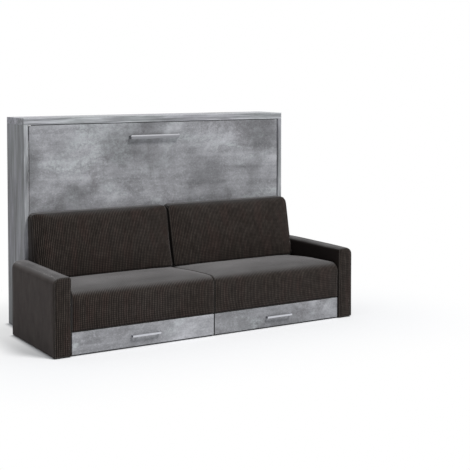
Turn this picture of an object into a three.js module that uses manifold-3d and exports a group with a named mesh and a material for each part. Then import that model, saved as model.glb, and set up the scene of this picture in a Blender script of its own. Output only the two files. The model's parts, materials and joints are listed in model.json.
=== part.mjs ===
// Horizontal wall bed with a sofa in front of it.
// Millimetres, +Z up. X runs along the wall, -Y points into the room, and the wall plane is at the
// cabinet's back. Everything is worked out in that wall frame first, and the finished group is moved
// so that its origin lies on the floor under the middle of its outer box.

import * as THREE from 'three';
import { mergeVertices } from 'three/addons/utils/BufferGeometryUtils.js';
import { ConvexGeometry } from 'three/addons/geometries/ConvexGeometry.js';
import Module from 'manifold-3d';

const wasm = await Module();
wasm.setup();

// Fits that many pieces share
const seatGap = 0.3;
const runningGap = 0.6;
const cutOverrun = 2;
const edgeChamfer = 1;

// Cabinet: its length and height follow from the mattress and the room round it
const cabinetDepth = 331;
const bedEndRoom = 61;
const sideBoard = 32;
const topBoard = 45;
const innerBoard = 18;
const panelTopGap = 5;
const panelEndGap = 10;
const panelRecess = 2;
const skirtHeight = 158;
const bottomBoardHeight = 60;
const lowerRailTop = 290;
const upperRailDrop = 32;
const upperRailWidth = 98;

// Wall brackets under the cabinet's top
const bracketSteel = 3;
const bracketLength = 70;
const bracketDrop = 28;
const bracketReach = 58;
const bracketInset = 280;

// Bed: the front panel is its underside, the hinge line runs along it
const pivotSetback = 33;
const pivotHeight = 470;
const panelThickness = 18;
const panelBottom = 180;
const slatDeckThickness = 18;
const frameBoard = 15;
const frameDepth = 88;
const frameRailInset = 9;
const panelOverRail = 2;
const mattressLength = 1900;
const mattressWidth = 1200;
const mattressThickness = 140;
const mattressFit = 2;
const mattressEdge = 25;
const slatCount = 14;
const slatGap = 46;
const slatBorder = 40;
const slatBearer = 60;
const strapWidth = 40;
const strapThickness = 1;
const strapPlace = 460;

// Bar handles: one on the bed panel, one on each drawer
const panelHandleLength = 405;
const panelHandlePlace = -58;
const panelHandleDrop = 98;
const panelHandleBar = 20;
const drawerHandleLength = 205;
const drawerHandleBar = 12;
const handleReach = 25;
const handleBarDepth = 8;
const handleFoot = 12;

// Pivots and gas struts, at both ends of the bed
const plateSteel = 5;
const pivotPinRadius = 8;
const pivotPlateRadius = 34;
const strutStudRadius = 7;
const strutBracketRadius = 24;
const strutEndGap = 29;
const strutAnchorSetback = 62;
const strutAnchorRise = 465;
const strutBedBack = 10;
const strutBedDrop = 90;
const strutEyeRadius = 13;
const strutEyeThickness = 10;
const strutCylinderRadius = 11;
const strutCylinderLength = 330;
const strutCylinderBore = 5.2;
const strutBoreFloor = 52;
const strutRodRadius = 4.6;
const strutRodInside = 140;

// Drop legs: flat bars that hang beside the bed and come down beside the seat cushions
const legPinRise = 640;
const legPinBack = 20;
const legPinRadius = 6;
const legBarRadius = 14;
const legBarThickness = 4;
const legBarClearance = 2;
const legFootHeight = 12;

// Sofa
const armWidth = 120.5;
const armSetIn = 13.5;
const armHeight = 513;
const armFront = 1109;
const sofaGap = 18;
const armEdge = 24;
const armCrown = 4;
const armPull = 2;
const glideHeight = 4;
const glideInset = 20;
const baseHeight = 136;
const fixingLength = 60;
const fixingHeight = 50;
const fixingPlace = 620;
const fixingBottom = 70;

// Seat cushions
const seatHeight = 388;
const seatRise = 23;
const seatCrown = 14;
const seatFrontCrown = 3;
const seatFrontInset = 3;
const seatFrontLean = 8;
const seatEdge = 32;
const seatPull = 4;
const seatMiddleGap = 1.5;
const seatEndGap = 8;
const seatEndWaist = 15;
const seatRestMargin = 8.3;

// Back cushions
const backHeight = 830;
const backFootThickness = 208;
const backTopThickness = 90;
const backEdge = 38;
const backCrown = 9;
const backPull = 4;
const backEndGap = 10;
const backMiddleGap = 1.5;
const backPanelGap = 4;
const backSeatGap = 0.3;

// Drawers
const drawerFrontInset = 13;
const drawerFrontTopGap = 3.6;
const drawerFrontBottom = 10;
const drawerFrontGap = 3.5;
const drawerFrontEndGap = 2.5;
const drawerRearRoom = 110;
const drawerBoxBottom = 32;
const drawerHeadroom = 10;
const drawerWall = 12;
const drawerFloor = 6;
const drawerSideGap = 2.2;
const runnerWidth = 22;
const runnerHeight = 12;

// Segments and curve exponents
const pinSides = 20;
const holeSides = 32;
const tubeSides = 20;
const strapSides = 5;
const softRows = 2;
const seatSegments = [14, 12, 6];
const backSegments = [14, 5, 10];
const armSegments = [5, 10, 8];
const mattressRows = 1;
const mattressSegments = [4, 3, 4];
const waistPower = 6;

// Heights and planes that follow from the sizes above
const left = -1;
const right = 1;
const panelFrontY = -cabinetDepth + panelRecess;
const panelBackY = panelFrontY + panelThickness;
const pivotY = -cabinetDepth + pivotSetback;
const deckFrontY = panelBackY + seatGap;
const mattressFrontY = deckFrontY + slatDeckThickness + seatGap;
const mattressBackY = mattressFrontY + mattressThickness;
const frameBackY = deckFrontY + frameDepth;
const railBottom = panelBottom + frameRailInset;
const mattressBottom = railBottom + frameBoard + mattressFit;
const mattressTop = mattressBottom + mattressWidth;
const railTop = mattressTop + mattressFit + frameBoard;
const panelTop = railTop + panelOverRail;
const topUnderside = panelTop + panelTopGap;
const cabinetHeight = topUnderside + topBoard;
const frameHalf = mattressLength / 2 + mattressFit + frameBoard;
const innerHalf = frameHalf + bedEndRoom;
const cabinetHalf = innerHalf + sideBoard;
const panelHalf = innerHalf - panelEndGap;
const strutPlace = frameHalf + strutEndGap;
const strutAnchorHeight = pivotHeight + strutAnchorRise;
const bracketPlace = cabinetHalf - bracketInset;
const armInner = innerHalf + armSetIn;
const armOuter = armInner + armWidth;
const sofaBackY = -cabinetDepth - sofaGap;
const deckTop = baseHeight + seatGap + innerBoard;
const seatBottom = deckTop + seatGap;
const seatBackY = sofaBackY - seatGap;
const seatFrontY = -armFront + seatFrontInset;
const backCushionY = panelFrontY - backPanelGap;
const seatRestY = backCushionY - backFootThickness - seatRestMargin;
const legBarOuter = innerHalf - legBarClearance;
const legBarInner = legBarOuter - legBarThickness;
const legReach = pivotHeight + legPinBack - deckTop - seatGap;
const drawerFrontY = -armFront + drawerFrontInset;
const drawerFrontBackY = drawerFrontY + innerBoard;
const drawerFrontTop = seatBottom - drawerFrontTopGap;
const baseFrontY = drawerFrontBackY + seatGap;
const baseBackY = sofaBackY - innerBoard - seatGap;
const totalDepth = handleReach - drawerFrontY;

// Materials

function finish(color, roughness, metalness) {
  return new THREE.MeshStandardMaterial({ color, roughness, metalness });
}

const concreteLook = finish(0x9b9c9e, 0.62, 0);
const streakedBoard = finish(0x86878a, 0.6, 0);
const plainBoard = finish(0x77787b, 0.7, 0);
const ribbedFabric = finish(0x3c3633, 0.95, 0);
const brushedMetal = finish(0xb9bbbd, 0.35, 1);
const steel = finish(0x8b8e91, 0.45, 1);
const blackSteel = finish(0x222324, 0.5, 0.6);
const beech = finish(0xc9a878, 0.6, 0);
const mattressCloth = finish(0xe9e7e2, 0.9, 0);
const strapWebbing = finish(0x1e1f22, 0.9, 0);
const blackPlastic = finish(0x1b1b1c, 0.6, 0);
const rubber = finish(0x171717, 0.85, 0);

// Shape helpers

function bare(geometry) {
  const copy = geometry.clone();
  copy.deleteAttribute('normal');
  copy.deleteAttribute('uv');
  return mergeVertices(copy);
}

function solidOf(geometry) {
  const merged = bare(geometry);
  const vertProperties = new Float32Array(merged.getAttribute('position').array);
  const triVerts = new Uint32Array(merged.getIndex().array);
  return new wasm.Manifold(new wasm.Mesh({ numProp: 3, vertProperties, triVerts }));
}

function geometryOf(solid) {
  const mesh = solid.getMesh();
  const geometry = new THREE.BufferGeometry();
  geometry.setAttribute('position', new THREE.BufferAttribute(mesh.vertProperties, mesh.numProp));
  geometry.setIndex(new THREE.BufferAttribute(mesh.triVerts, 1));
  geometry.computeVertexNormals();
  return geometry;
}

function named(name, geometry, material, place = [0, 0, 0]) {
  const mesh = new THREE.Mesh(geometry, material);
  mesh.name = name;
  mesh.position.set(...place);
  return mesh;
}

// Low and high ends of a stretch that runs from inner to outer on one side of the middle.
function sideSpan(side, inner, outer) {
  return side > 0 ? [inner, outer] : [-outer, -inner];
}

function middleOf([low, high]) {
  return (low + high) / 2;
}

function lengthOf([low, high]) {
  return high - low;
}

function sideName(side) {
  return side > 0 ? 'right' : 'left';
}

// A plain square-edged block between three pairs of planes.
function block(name, material, spanX, spanY, spanZ) {
  const geometry = new THREE.BoxGeometry(lengthOf(spanX), lengthOf(spanY), lengthOf(spanZ));
  return named(name, geometry, material, [middleOf(spanX), middleOf(spanY), middleOf(spanZ)]);
}

// A board whose edges are all taken off by the same small chamfer.
function board(name, material, spanX, spanY, spanZ, chamfer = edgeChamfer) {
  const half = new THREE.Vector3(lengthOf(spanX), lengthOf(spanY), lengthOf(spanZ)).divideScalar(2);
  const corners = [];
  for (const x of [-1, 1]) {
    for (const y of [-1, 1]) {
      for (const z of [-1, 1]) {
        for (const axis of ['x', 'y', 'z']) {
          const corner = half.clone().subScalar(chamfer);
          corner[axis] = half[axis];
          corners.push(corner.multiply(new THREE.Vector3(x, y, z)));
        }
      }
    }
  }
  const place = [middleOf(spanX), middleOf(spanY), middleOf(spanZ)];
  return named(name, new ConvexGeometry(corners), material, place);
}

// A plate cut from sheet: the outline is drawn in Y and Z, and the sheet stands square to X.
function plateGeometry(shape, spanX, sides) {
  const geometry = new THREE.ExtrudeGeometry(shape, {
    depth: lengthOf(spanX),
    bevelEnabled: false,
    curveSegments: sides,
  });
  geometry.applyMatrix4(new THREE.Matrix4().makeBasis(
    new THREE.Vector3(0, 1, 0), new THREE.Vector3(0, 0, 1), new THREE.Vector3(1, 0, 0)));
  geometry.translate(spanX[0], 0, 0);
  return geometry;
}

// The outline of a plate with two round ends, drawn round the two points.
function stadium(start, end, radius) {
  const along = Math.atan2(end[1] - start[1], end[0] - start[0]);
  const quarter = Math.PI / 2;
  const shape = new THREE.Shape();
  shape.absarc(start[0], start[1], radius, along + quarter, along + 3 * quarter, false);
  shape.absarc(end[0], end[1], radius, along - quarter, along + quarter, false);
  shape.closePath();
  return shape;
}

function roundHole(centre, radius) {
  const hole = new THREE.Path();
  hole.absarc(centre[0], centre[1], radius, 0, 2 * Math.PI, true);
  return hole;
}

// A round bar along X.
function crossBar(radius, spanX, y, z, sides = pinSides) {
  const geometry = new THREE.CylinderGeometry(radius, radius, lengthOf(spanX), sides);
  geometry.rotateZ(Math.PI / 2);
  geometry.translate(middleOf(spanX), y, z);
  return geometry;
}

// Where a grid line lies between the middle and the face: evenly over the flat part, and by equal
// angles over the rounded rows next to the face.
function gridPlace(step, half, edge, flatShare) {
  const away = Math.abs(step);
  const core = half - edge;
  if (away <= flatShare) {
    return Math.sign(step) * core * away / flatShare;
  }
  const angle = (away - flatShare) / (1 - flatShare) * Math.PI / 4;
  return Math.sign(step) * (core + edge * Math.tan(angle));
}

// Soft forms: a box whose edges are rounded, then moulded point by point.
// share is the point's place in the box, from -1 to 1 along each axis.
function softForm(spanX, spanY, spanZ, edge, segments, roundRows, mould) {
  const half = new THREE.Vector3(lengthOf(spanX), lengthOf(spanY), lengthOf(spanZ)).divideScalar(2);
  const core = half.clone().subScalar(edge);
  const centre = new THREE.Vector3(middleOf(spanX), middleOf(spanY), middleOf(spanZ));
  const geometry = new THREE.BoxGeometry(2, 2, 2, ...segments);
  const position = geometry.getAttribute('position');
  const point = new THREE.Vector3();
  for (let index = 0; index < position.count; index += 1) {
    point.fromBufferAttribute(position, index);
    for (const [order, axis] of ['x', 'y', 'z'].entries()) {
      const flatShare = 1 - 2 * roundRows / segments[order];
      point[axis] = gridPlace(point[axis], half[axis], edge, flatShare);
    }
    const share = point.clone().divide(half);
    const inside = point.clone().clamp(core.clone().negate(), core);
    const outward = point.clone().sub(inside);
    if (outward.lengthSq() > 0) {
      point.copy(inside).add(outward.setLength(edge));
    }
    mould(point, share);
    point.add(centre);
    position.setXYZ(index, point.x, point.y, point.z);
  }
  const merged = bare(geometry);
  merged.computeVertexNormals();
  return merged;
}

// Swells the middle of each face by its crown and draws the edges in between the corners.
// The underside stays flat, because every such piece stands on something.
function crownAndPull(point, share, crown, pull) {
  for (const [axis, across, along] of [['x', 'y', 'z'], ['y', 'z', 'x'], ['z', 'x', 'y']]) {
    if (axis === 'z' && share.z < 0) {
      continue;
    }
    const bowAcross = 1 - share[across] ** 2;
    const bowAlong = 1 - share[along] ** 2;
    const reach = Math.sign(share[axis]) * Math.abs(share[axis]) ** 3;
    const edges = bowAcross * share[along] ** 4 + bowAlong * share[across] ** 4;
    point[axis] += reach * (crown[axis] * bowAcross * bowAlong - pull[axis] * edges);
  }
}

// Cabinet

function cabinet() {
  const group = new THREE.Group();
  const inner = [-innerHalf + seatGap, innerHalf - seatGap];
  const underTop = topUnderside - seatGap;
  for (const side of [left, right]) {
    const spanX = sideSpan(side, innerHalf, cabinetHalf);
    group.add(board(`cabinet_side_${sideName(side)}`, streakedBoard, spanX,
      [-cabinetDepth, 0], [0, underTop]));
    group.add(wallBracket(side, underTop));
  }
  group.add(board('cabinet_top', streakedBoard, [-cabinetHalf, cabinetHalf],
    [-cabinetDepth, 0], [topUnderside, cabinetHeight]));
  const skirtY = [-cabinetDepth, -cabinetDepth + innerBoard];
  group.add(board('front_skirt', plainBoard, inner, skirtY, [0, skirtHeight]));
  const boardY = [skirtY[1] + seatGap, -innerBoard - seatGap];
  group.add(board('cabinet_bottom_board', plainBoard, inner, boardY,
    [bottomBoardHeight, bottomBoardHeight + innerBoard]));
  group.add(board('lower_back_rail', plainBoard, inner, [-innerBoard, 0], [0, lowerRailTop]));
  group.add(board('upper_back_rail', plainBoard, inner, [-innerBoard, 0],
    [topUnderside - upperRailDrop - upperRailWidth, topUnderside - upperRailDrop]));
  return group;
}

// An angle of flat steel that hangs the cabinet's top on the wall.
function wallBracket(side, underTop) {
  const shape = new THREE.Shape();
  shape.moveTo(0, underTop);
  shape.lineTo(-bracketReach, underTop);
  shape.lineTo(-bracketReach, underTop - bracketSteel);
  shape.lineTo(-bracketSteel, underTop - bracketSteel);
  shape.lineTo(-bracketSteel, underTop - bracketDrop);
  shape.lineTo(0, underTop - bracketDrop);
  shape.closePath();
  const spanX = sideSpan(side, bracketPlace, bracketPlace + bracketLength);
  return named(`wall_bracket_${sideName(side)}`, plateGeometry(shape, spanX, 1), steel);
}

// Bed

function bed() {
  const group = new THREE.Group();
  group.add(board('bed_front_panel', concreteLook, [-panelHalf, panelHalf],
    [panelFrontY, panelBackY], [panelBottom, panelTop]));
  group.add(barHandle('bed_handle', panelHandlePlace, panelTop - panelHandleDrop, panelFrontY,
    panelHandleLength, panelHandleBar));
  group.add(slatDeck());
  group.add(...bedFrame());
  group.add(mattress());
  for (const side of [left, right]) {
    group.add(mattressStrap(side));
    group.add(bedPivotPlate(side));
    group.add(legPin(side));
  }
  return group;
}

function bedFrame() {
  const pieces = [];
  const frameY = [deckFrontY, frameBackY];
  const railHalf = frameHalf - frameBoard - seatGap;
  pieces.push(board('frame_rail_lower', plainBoard, [-railHalf, railHalf], frameY,
    [railBottom, railBottom + frameBoard]));
  pieces.push(board('frame_rail_upper', plainBoard, [-railHalf, railHalf], frameY,
    [railTop - frameBoard, railTop]));
  for (const side of [left, right]) {
    const spanX = sideSpan(side, frameHalf - frameBoard, frameHalf);
    pieces.push(board(`frame_end_${sideName(side)}`, plainBoard, spanX, frameY,
      [railBottom, railTop]));
  }
  return pieces;
}

// One deck of cross slats on a border and a middle bearer, behind the front panel.
function slatDeck() {
  const halfX = frameHalf - frameBoard - seatGap;
  const spanZ = [railBottom + frameBoard + seatGap, railTop - frameBoard - seatGap];
  const pitch = (2 * halfX - 2 * slatBorder + slatGap) / slatCount;
  const slotHeight = (lengthOf(spanZ) - slatBearer) / 2 - slatBorder;
  const slotRise = (slotHeight + slatBearer) / 2;
  let solid = solidOf(new THREE.BoxGeometry(2 * halfX, slatDeckThickness, lengthOf(spanZ)));
  for (let slot = 1; slot < slatCount; slot += 1) {
    const slotX = -halfX + slatBorder + slot * pitch - slatGap / 2;
    for (const rise of [-slotRise, slotRise]) {
      const hole = new THREE.BoxGeometry(slatGap, slatDeckThickness + cutOverrun, slotHeight);
      hole.translate(slotX, 0, rise);
      solid = solid.subtract(solidOf(hole));
    }
  }
  return named('slat_deck', geometryOf(solid), beech,
    [0, deckFrontY + slatDeckThickness / 2, middleOf(spanZ)]);
}

function mattress() {
  const halfX = mattressLength / 2;
  const geometry = softForm([-halfX, halfX], [mattressFrontY, mattressBackY],
    [mattressBottom, mattressTop], mattressEdge, mattressSegments, mattressRows, () => {});
  return named('mattress', geometry, mattressCloth);
}

// A band that holds the mattress: over its sleeping face and round both long edges.
function mattressStrap(side) {
  const footY = frameBackY + seatGap;
  const cornerY = mattressBackY - mattressEdge;
  const lowCorner = mattressBottom + mattressEdge;
  const highCorner = mattressTop - mattressEdge;
  const inner = mattressEdge + seatGap;
  const outer = inner + strapThickness;
  const shape = new THREE.Shape();
  shape.moveTo(footY, lowCorner - outer);
  shape.absarc(cornerY, lowCorner, outer, -Math.PI / 2, 0, false);
  shape.absarc(cornerY, highCorner, outer, 0, Math.PI / 2, false);
  shape.lineTo(footY, highCorner + outer);
  shape.lineTo(footY, highCorner + inner);
  shape.absarc(cornerY, highCorner, inner, Math.PI / 2, 0, true);
  shape.absarc(cornerY, lowCorner, inner, 0, -Math.PI / 2, true);
  shape.lineTo(footY, lowCorner - inner);
  shape.closePath();
  const place = side * strapPlace;
  const spanX = [place - strapWidth / 2, place + strapWidth / 2];
  return named(`mattress_strap_${sideName(side)}`, plateGeometry(shape, spanX, strapSides),
    strapWebbing);
}

// A flat bar on two square feet, standing off the face at plane y.
function barHandle(name, centreX, centreZ, faceY, length, barHeight) {
  const half = length / 2;
  const faceGap = -seatGap;
  const shape = new THREE.Shape();
  shape.moveTo(-half, faceGap);
  shape.lineTo(-half, -handleReach);
  shape.lineTo(half, -handleReach);
  shape.lineTo(half, faceGap);
  shape.lineTo(half - handleFoot, faceGap);
  shape.lineTo(half - handleFoot, -handleReach + handleBarDepth);
  shape.lineTo(-half + handleFoot, -handleReach + handleBarDepth);
  shape.lineTo(-half + handleFoot, faceGap);
  shape.closePath();
  const geometry = new THREE.ExtrudeGeometry(shape, { depth: barHeight, bevelEnabled: false });
  return named(name, geometry, brushedMetal, [centreX, faceY, centreZ - barHeight / 2]);
}

// Pivots

function pivotHardware() {
  const group = new THREE.Group();
  for (const side of [left, right]) {
    group.add(cabinetPivot(side));
    group.add(strutBracket(side));
  }
  return group;
}

// A plate on the cabinet side with the pin that the bed turns on.
function cabinetPivot(side) {
  const outer = innerHalf - seatGap;
  const inner = outer - plateSteel;
  const shape = stadium([pivotY, pivotHeight - pivotPlateRadius],
    [pivotY, pivotHeight + pivotPlateRadius], pivotPinRadius * 2);
  const plate = plateGeometry(shape, sideSpan(side, inner, outer), pinSides / 2);
  const pinSpan = sideSpan(side, frameHalf + seatGap, inner + plateSteel / 2);
  const pin = crossBar(pivotPinRadius, pinSpan, pivotY, pivotHeight);
  const solid = solidOf(plate).add(solidOf(pin));
  return named(`pivot_plate_${sideName(side)}`, geometryOf(solid), steel);
}

// A steel plate on the bed's end board: the pivot's hole at one end, the strut's stud at the other.
function bedPivotPlate(side) {
  const inner = frameHalf + seatGap;
  const outer = inner + plateSteel;
  const stud = [pivotY + strutBedBack, pivotHeight - strutBedDrop];
  const shape = stadium([pivotY, pivotHeight], stud, pivotPlateRadius);
  shape.holes.push(roundHole([pivotY, pivotHeight], pivotPinRadius + runningGap));
  const plate = plateGeometry(shape, sideSpan(side, inner, outer), holeSides / 2);
  const studEnd = strutPlace - strutEyeThickness / 2 - runningGap;
  const studSpan = sideSpan(side, inner + plateSteel / 2, studEnd);
  const room = 2 * (pivotPlateRadius + strutBedDrop);
  const front = new THREE.BoxGeometry(room, room, room);
  front.translate(middleOf(sideSpan(side, inner, outer)), deckFrontY - room / 2, pivotHeight);
  const solid = solidOf(plate).subtract(solidOf(front))
    .add(solidOf(crossBar(strutStudRadius, studSpan, ...stud)));
  return named(`bed_pivot_plate_${sideName(side)}`, geometryOf(solid), steel);
}

// A small plate on the cabinet side with the stud that the strut's cylinder swings on.
function strutBracket(side) {
  const outer = innerHalf - seatGap;
  const inner = outer - plateSteel;
  const anchor = [-strutAnchorSetback, strutAnchorHeight];
  const shape = new THREE.Shape();
  shape.absarc(anchor[0], anchor[1], strutBracketRadius, 0, 2 * Math.PI, false);
  const plate = plateGeometry(shape, sideSpan(side, inner, outer), pinSides / 2);
  const studEnd = strutPlace - strutEyeThickness / 2 - runningGap;
  const studSpan = sideSpan(side, studEnd, inner + plateSteel / 2);
  const solid = solidOf(plate).add(solidOf(crossBar(strutStudRadius, studSpan, ...anchor)));
  return named(`strut_bracket_${sideName(side)}`, geometryOf(solid), steel);
}

// Gas struts

// The strut's own frame has its upper eye at zero and runs down along -Z to its lower eye.
function gasStruts() {
  const group = new THREE.Group();
  const down = pivotHeight - strutBedDrop - strutAnchorHeight;
  const forward = pivotY + strutBedBack + strutAnchorSetback;
  const length = Math.hypot(forward, down);
  for (const side of [left, right]) {
    const strut = new THREE.Group();
    strut.position.set(side * strutPlace, -strutAnchorSetback, strutAnchorHeight);
    strut.rotation.x = Math.atan2(forward, -down);
    strut.add(named(`strut_cylinder_${sideName(side)}`, strutCylinder(), blackSteel));
    strut.add(named(`strut_rod_${sideName(side)}`, strutRod(length), brushedMetal));
    group.add(strut);
  }
  return group;
}

function turned(profile, sides) {
  const points = profile.map(([radius, height]) => new THREE.Vector2(radius, height));
  const geometry = new THREE.LatheGeometry(points, sides);
  geometry.rotateX(Math.PI / 2);
  return geometry;
}

function eye(height) {
  const shape = new THREE.Shape();
  shape.absarc(0, 0, strutEyeRadius, 0, 2 * Math.PI, false);
  shape.holes.push(roundHole([0, 0], strutStudRadius + runningGap));
  const halfWidth = strutEyeThickness / 2;
  const ring = plateGeometry(shape, [-halfWidth, halfWidth], pinSides);
  ring.translate(0, 0, height);
  return ring;
}

function strutCylinder() {
  const start = -(strutStudRadius + strutEyeRadius) / 2;
  const end = -strutCylinderLength;
  const tube = turned([
    [0, end + strutCylinderLength - strutBoreFloor],
    [strutCylinderBore, end + strutCylinderLength - strutBoreFloor],
    [strutCylinderBore, end],
    [strutCylinderRadius, end],
    [strutCylinderRadius, start - strutCylinderRadius / 2],
    [strutCylinderRadius / 2, start],
    [0, start],
  ], tubeSides);
  return geometryOf(solidOf(tube).add(solidOf(eye(0))));
}

function strutRod(length) {
  const end = -length + (strutStudRadius + strutEyeRadius) / 2;
  const rod = turned([
    [0, end],
    [strutRodRadius, end],
    [strutRodRadius, -strutCylinderLength + strutRodInside],
    [0, -strutCylinderLength + strutRodInside],
  ], tubeSides);
  return geometryOf(solidOf(rod).add(solidOf(eye(-length))));
}

// Drop legs

function legPin(side) {
  const span = sideSpan(side, frameHalf + seatGap, legBarOuter);
  const geometry = crossBar(legPinRadius, span, pivotY + legPinBack, pivotHeight + legPinRise);
  return named(`leg_pin_${sideName(side)}`, geometry, steel);
}

function dropLegs() {
  const group = new THREE.Group();
  const barEnd = -(legReach - legFootHeight);
  for (const side of [left, right]) {
    const leg = new THREE.Group();
    leg.position.set(0, pivotY + legPinBack, pivotHeight + legPinRise);
    const span = sideSpan(side, legBarInner, legBarOuter);
    const shape = new THREE.Shape();
    shape.absarc(0, 0, legBarRadius, 0, Math.PI, false);
    shape.lineTo(-legBarRadius, barEnd);
    shape.lineTo(legBarRadius, barEnd);
    shape.closePath();
    shape.holes.push(roundHole([0, 0], legPinRadius + runningGap));
    leg.add(named(`leg_bar_${sideName(side)}`, plateGeometry(shape, span, pinSides / 2), blackSteel));
    leg.add(block(`leg_foot_${sideName(side)}`, rubber, span, [-legBarRadius, legBarRadius],
      [-legReach, barEnd - seatGap]));
    group.add(leg);
  }
  return group;
}

// Sofa

function sofa() {
  const group = new THREE.Group();
  const baseY = [baseFrontY, baseBackY];
  for (const side of [left, right]) {
    group.add(sofaArm(side));
    group.add(glide(side));
    group.add(board(`base_side_${sideName(side)}`, plainBoard,
      sideSpan(side, armInner - seatGap - innerBoard, armInner - seatGap), baseY, [0, baseHeight]));
    group.add(seatCushion(side));
    group.add(fixing(side));
  }
  group.add(board('base_divider', plainBoard, [-innerBoard / 2, innerBoard / 2], baseY,
    [0, baseHeight]));
  const baseHalf = armInner - seatGap;
  group.add(board('base_back', plainBoard, [-baseHalf, baseHalf],
    [sofaBackY - innerBoard, sofaBackY], [0, baseHeight]));
  group.add(board('seat_deck', plainBoard, [-baseHalf, baseHalf], [baseFrontY, sofaBackY],
    [baseHeight + seatGap, deckTop]));
  return group;
}

// A padded arm: flat on both sides, softly crowned on top and at its ends.
function sofaArm(side) {
  const crown = new THREE.Vector3(0, armCrown, armCrown);
  const pull = new THREE.Vector3(armPull, armPull, armPull);
  const halfWidth = armWidth / 2;
  const halfHeight = (armHeight - glideHeight) / 2;
  const mould = (point, share) => {
    crownAndPull(point, share, crown, pull);
    point.x = THREE.MathUtils.clamp(point.x, -halfWidth, halfWidth);
    point.z = Math.max(point.z, -halfHeight);
  };
  const geometry = softForm(sideSpan(side, armInner, armOuter), [-armFront, sofaBackY],
    [glideHeight, armHeight], armEdge, armSegments, softRows, mould);
  return named(`sofa_arm_${sideName(side)}`, geometry, ribbedFabric);
}

function glide(side) {
  const span = sideSpan(side, armInner + armEdge, armOuter - armEdge);
  return block(`arm_glide_${sideName(side)}`, blackPlastic, span,
    [-armFront + armEdge + glideInset, sofaBackY - armEdge - glideInset],
    [0, glideHeight - seatGap]);
}

// A spacer that ties the sofa's base to the cabinet's skirt.
function fixing(side) {
  const span = sideSpan(side, fixingPlace - fixingLength / 2, fixingPlace + fixingLength / 2);
  return board(`sofa_fixing_${sideName(side)}`, blackPlastic, span,
    [sofaBackY + seatGap, -cabinetDepth - seatGap], [fixingBottom, fixingBottom + fixingHeight]);
}

// A seat cushion: flat under and where the back cushion stands, rising and crowned in front of it,
// with a rolled front and a waist in its outer end that leaves room for the bed's leg.
function seatCushion(side) {
  const spanX = sideSpan(side, seatMiddleGap, armInner - seatEndGap);
  const spanY = [seatFrontY, seatBackY];
  const spanZ = [seatBottom, seatHeight];
  const crown = new THREE.Vector3(0, seatFrontCrown, 0);
  const pull = new THREE.Vector3(seatPull, seatPull, 0);
  const halfY = lengthOf(spanY) / 2;
  const halfZ = lengthOf(spanZ) / 2;
  const restShare = (seatRestY - middleOf(spanY)) / halfY;
  const mould = (point, share) => {
    crownAndPull(point, share, crown, pull);
    const upper = (share.z + 1) / 2;
    const ahead = THREE.MathUtils.clamp((restShare - share.y) / (restShare + 1), 0, 1);
    const rise = seatRise * Math.sin(ahead * Math.PI / 2) ** 2;
    const bow = 1 - share.x ** 4;
    const swell = seatCrown * bow * Math.sin(ahead * Math.PI);
    point.z += upper * (rise + swell);
    const frontward = Math.max(-share.y, 0) ** 2;
    point.y += frontward * seatFrontLean * (1 - upper);
    const outer = Math.max(side * share.x, 0) ** 2;
    point.x -= side * outer * seatEndWaist * (1 - Math.abs(share.y) ** waistPower);
    point.z = Math.max(point.z, -halfZ);
    point.y = Math.min(point.y, halfY);
  };
  const geometry = softForm(spanX, spanY, spanZ, seatEdge, seatSegments, softRows, mould);
  return named(`seat_cushion_${sideName(side)}`, geometry, ribbedFabric);
}

// A loose back cushion: a wedge that stands on the seat and leans on the bed's panel.
function backCushion(side) {
  const spanX = sideSpan(side, backMiddleGap, innerHalf - backEndGap);
  const spanY = [backCushionY - backFootThickness, backCushionY];
  const spanZ = [seatHeight + backSeatGap, backHeight];
  const crown = new THREE.Vector3(0, backCrown, 0);
  const pull = new THREE.Vector3(backPull, backPull, backPull);
  const halfY = backFootThickness / 2;
  const halfX = lengthOf(spanX) / 2;
  const halfZ = lengthOf(spanZ) / 2;
  const taper = backTopThickness / backFootThickness - 1;
  const mould = (point, share) => {
    crownAndPull(point, share, crown, pull);
    const rising = (share.z + 1) / 2;
    point.y = halfY + (point.y - halfY) * (1 + taper * rising);
    point.y = Math.min(point.y, halfY);
    point.x = THREE.MathUtils.clamp(point.x, -halfX, halfX);
    point.z = THREE.MathUtils.clamp(point.z, -halfZ, halfZ);
  };
  const geometry = softForm(spanX, spanY, spanZ, backEdge, backSegments, softRows, mould);
  return named(`back_cushion_${sideName(side)}`, geometry, ribbedFabric);
}

// Drawers

function drawer(side) {
  const group = new THREE.Group();
  const label = sideName(side);
  const frontX = sideSpan(side, drawerFrontGap, armInner - drawerFrontEndGap);
  group.add(board(`drawer_front_${label}`, concreteLook, frontX,
    [drawerFrontY, drawerFrontBackY], [drawerFrontBottom, drawerFrontTop]));
  group.add(barHandle(`drawer_handle_${label}`, middleOf(frontX),
    (drawerFrontBottom + drawerFrontTop) / 2, drawerFrontY, drawerHandleLength,
    drawerHandleBar));
  group.add(drawerBox(side));
  return group;
}

function drawerBoxSpan(side) {
  const inner = innerBoard / 2 + drawerSideGap;
  const outer = armInner - seatGap - innerBoard - drawerSideGap;
  return sideSpan(side, inner, outer);
}

// An open tray, fixed to the back of the drawer's front.
function drawerBox(side) {
  const spanX = drawerBoxSpan(side);
  const depth = baseBackY - baseFrontY - drawerRearRoom;
  const boxTop = baseHeight - drawerHeadroom;
  const height = boxTop - drawerBoxBottom;
  const outside = new THREE.BoxGeometry(lengthOf(spanX), depth, height);
  const insideHeight = height - drawerFloor + cutOverrun;
  const inside = new THREE.BoxGeometry(lengthOf(spanX) - 2 * drawerWall, depth - 2 * drawerWall,
    insideHeight);
  inside.translate(0, 0, (drawerFloor + cutOverrun) / 2);
  const solid = solidOf(outside).subtract(solidOf(inside));
  return named(`drawer_box_${sideName(side)}`, geometryOf(solid), plainBoard,
    [middleOf(spanX), baseFrontY + depth / 2, (boxTop + drawerBoxBottom) / 2]);
}

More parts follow.
